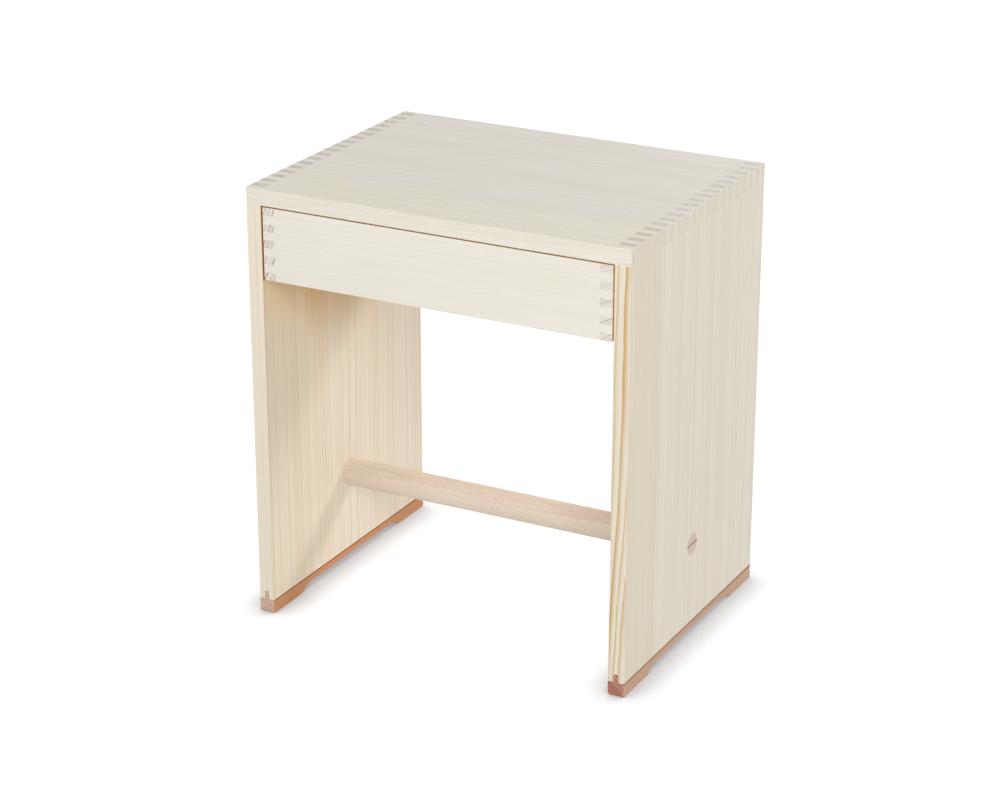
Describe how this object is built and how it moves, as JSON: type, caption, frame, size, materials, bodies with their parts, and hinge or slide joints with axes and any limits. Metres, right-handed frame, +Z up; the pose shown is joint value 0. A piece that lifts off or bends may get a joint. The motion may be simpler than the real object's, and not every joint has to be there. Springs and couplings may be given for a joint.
{
  "type": "stool with drawer",
  "caption": "Solid-wood box stool with finger-jointed seat and sides, a wedged round stretcher rod, hardwood foot rails and a finger-jointed drawer sliding out under the seat.",
  "frame": {"origin": "on the floor under the middle of the stool's box", "axes": "+X to the right seen from the drawer's front, +Y to the back, +Z up"},
  "size_m": [0.4, 0.3, 0.44],
  "materials": {
    "spruce": "soaped matt",
    "beech": "sanded matt",
    "foot_hardwood": "oiled matt",
    "plywood": "sanded matt",
    "screw_steel": "zinc plated"
  },
  "bodies": {
    "carcass": {"seat_front_stave": "spruce", "seat_front_mid_stave": "spruce", "seat_back_mid_stave": "spruce", "seat_back_stave": "spruce", "left_side_front_stave": "spruce", "left_side_front_mid_stave": "spruce", "left_side_back_mid_stave": "spruce", "left_side_back_stave": "spruce", "right_side_front_stave": "spruce", "right_side_front_mid_stave": "spruce", "right_side_back_mid_stave": "spruce", "right_side_back_stave": "spruce", "left_foot_rail": "foot_hardwood", "right_foot_rail": "foot_hardwood", "stretcher_rod": "beech", "left_rod_wedge": "foot_hardwood", "right_rod_wedge": "foot_hardwood", "left_drawer_runner": "beech", "right_drawer_runner": "beech", "left_runner_screws": "screw_steel", "right_runner_screws": "screw_steel"},
    "drawer": {"drawer_front": "spruce", "drawer_back": "spruce", "drawer_left_side": "spruce", "drawer_right_side": "spruce", "drawer_bottom": "plywood"}
  },
  "joints": [
    {"name": "drawer_slide", "type": "slide", "parent": "carcass", "child": "drawer", "axis": [0, -1, 0], "range_m": [0, 0.2]}
  ]
}
